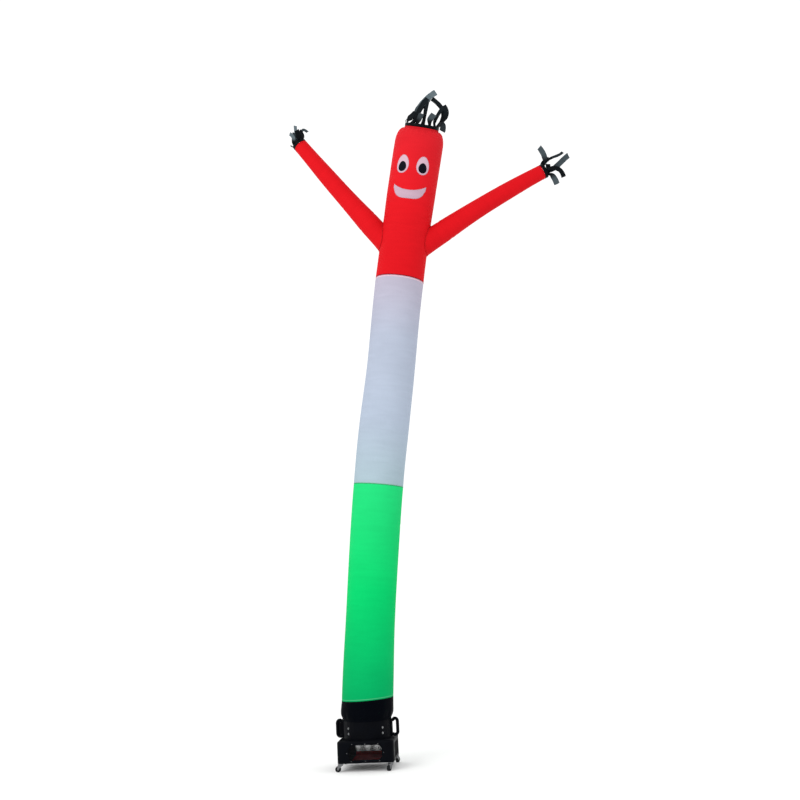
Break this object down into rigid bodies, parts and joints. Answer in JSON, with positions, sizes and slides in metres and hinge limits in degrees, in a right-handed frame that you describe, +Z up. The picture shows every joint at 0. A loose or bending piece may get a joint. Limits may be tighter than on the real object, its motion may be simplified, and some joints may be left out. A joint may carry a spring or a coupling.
{
  "type": "inflatable air dancer on a fan blower",
  "caption": "Tall inflated cloth tube figure with a smiling face, raised arms and black streamers, on a wheeled box fan blower that fills it with air.",
  "frame": {"origin": "centre of the underside of the blower's base, 70 mm above the floor that the castors stand on", "axes": "+Z up along the tube's height; the face looks towards -Y; the tube leans towards +X"},
  "size_m": [2.6517, 0.5529, 6.1161],
  "materials": {
    "black_plastic": "satin",
    "zinc": "satin",
    "black_steel": "satin",
    "motor_paint": "satin",
    "red_panel": "matte",
    "grey_rubber": "matte",
    "black_cloth": "matte",
    "green_cloth": "satin",
    "white_cloth": "satin",
    "red_cloth": "satin"
  },
  "bodies": {
    "blower_and_tube": {"blower_base": "black_plastic", "blower_collar": "black_plastic", "handle_left": "black_plastic", "handle_right": "black_plastic", "switch_box": "black_plastic", "gland": "black_plastic", "motor_mount": "zinc", "bolt_front_left_low": "zinc", "bolt_front_left_high": "zinc", "bolt_front_right_low": "zinc", "bolt_front_right_high": "zinc", "bolt_back_right_low": "zinc", "bolt_back_right_high": "zinc", "bolt_back_left_low": "zinc", "bolt_back_left_high": "zinc", "castor_plate_front_left": "zinc", "castor_plate_front_right": "zinc", "castor_plate_back_right": "zinc", "castor_plate_back_left": "zinc", "guard_front": "black_steel", "guard_back": "black_steel", "guard_left": "black_steel", "guard_right": "black_steel", "motor": "motor_paint", "floor_panel": "red_panel", "cuff": "black_cloth", "pupil_left": "black_cloth", "pupil_right": "black_cloth", "hair": "black_cloth", "fringe_left": "black_cloth", "fringe_right": "black_cloth", "panel_green": "green_cloth", "panel_white": "white_cloth", "eye_left": "white_cloth", "eye_right": "white_cloth", "mouth": "white_cloth", "panel_red": "red_cloth", "arm_right": "red_cloth", "arm_left": "red_cloth"},
    "fan_rotor": {"fan": "black_plastic"},
    "fork_front_left": {"castor_fork_front_left": "zinc"},
    "wheel_front_left": {"castor_wheel_front_left": "grey_rubber"},
    "fork_front_right": {"castor_fork_front_right": "zinc"},
    "wheel_front_right": {"castor_wheel_front_right": "grey_rubber"},
    "fork_back_right": {"castor_fork_back_right": "zinc"},
    "wheel_back_right": {"castor_wheel_back_right": "grey_rubber"},
    "fork_back_left": {"castor_fork_back_left": "zinc"},
    "wheel_back_left": {"castor_wheel_back_left": "grey_rubber"}
  },
  "joints": [
    {"name": "fan_spin", "type": "hinge", "parent": "blower_and_tube", "child": "fan_rotor", "pos_m": [0, 0, 0.29], "axis": [0, 0, 1], "continuous": true},
    {"name": "swivel_front_left", "type": "hinge", "parent": "blower_and_tube", "child": "fork_front_left", "pos_m": [-0.215, -0.215, -0.004], "axis": [0, 0, 1], "continuous": true},
    {"name": "roll_front_left", "type": "hinge", "parent": "fork_front_left", "child": "wheel_front_left", "pos_m": [-0.241, -0.215, -0.04548], "axis": [0, -1, 0], "continuous": true},
    {"name": "swivel_front_right", "type": "hinge", "parent": "blower_and_tube", "child": "fork_front_right", "pos_m": [0.215, -0.215, -0.004], "axis": [0, 0, 1], "continuous": true},
    {"name": "roll_front_right", "type": "hinge", "parent": "fork_front_right", "child": "wheel_front_right", "pos_m": [0.20009, -0.2363, -0.04548], "axis": [0.8192, -0.5736, 0], "continuous": true},
    {"name": "swivel_back_right", "type": "hinge", "parent": "blower_and_tube", "child": "fork_back_right", "pos_m": [0.215, 0.215, -0.004], "axis": [0, 0, 1], "continuous": true},
    {"name": "roll_back_right", "type": "hinge", "parent": "fork_back_right", "child": "wheel_back_right", "pos_m": [0.22916, 0.2368, -0.04548], "axis": [-0.8387, 0.5446, 0], "continuous": true},
    {"name": "swivel_back_left", "type": "hinge", "parent": "blower_and_tube", "child": "fork_back_left", "pos_m": [-0.215, 0.215, -0.004], "axis": [0, 0, 1], "continuous": true},
    {"name": "roll_back_left", "type": "hinge", "parent": "fork_back_left", "child": "wheel_back_left", "pos_m": [-0.23752, 0.228, -0.04548], "axis": [-0.5, -0.866, 0], "continuous": true}
  ]
}
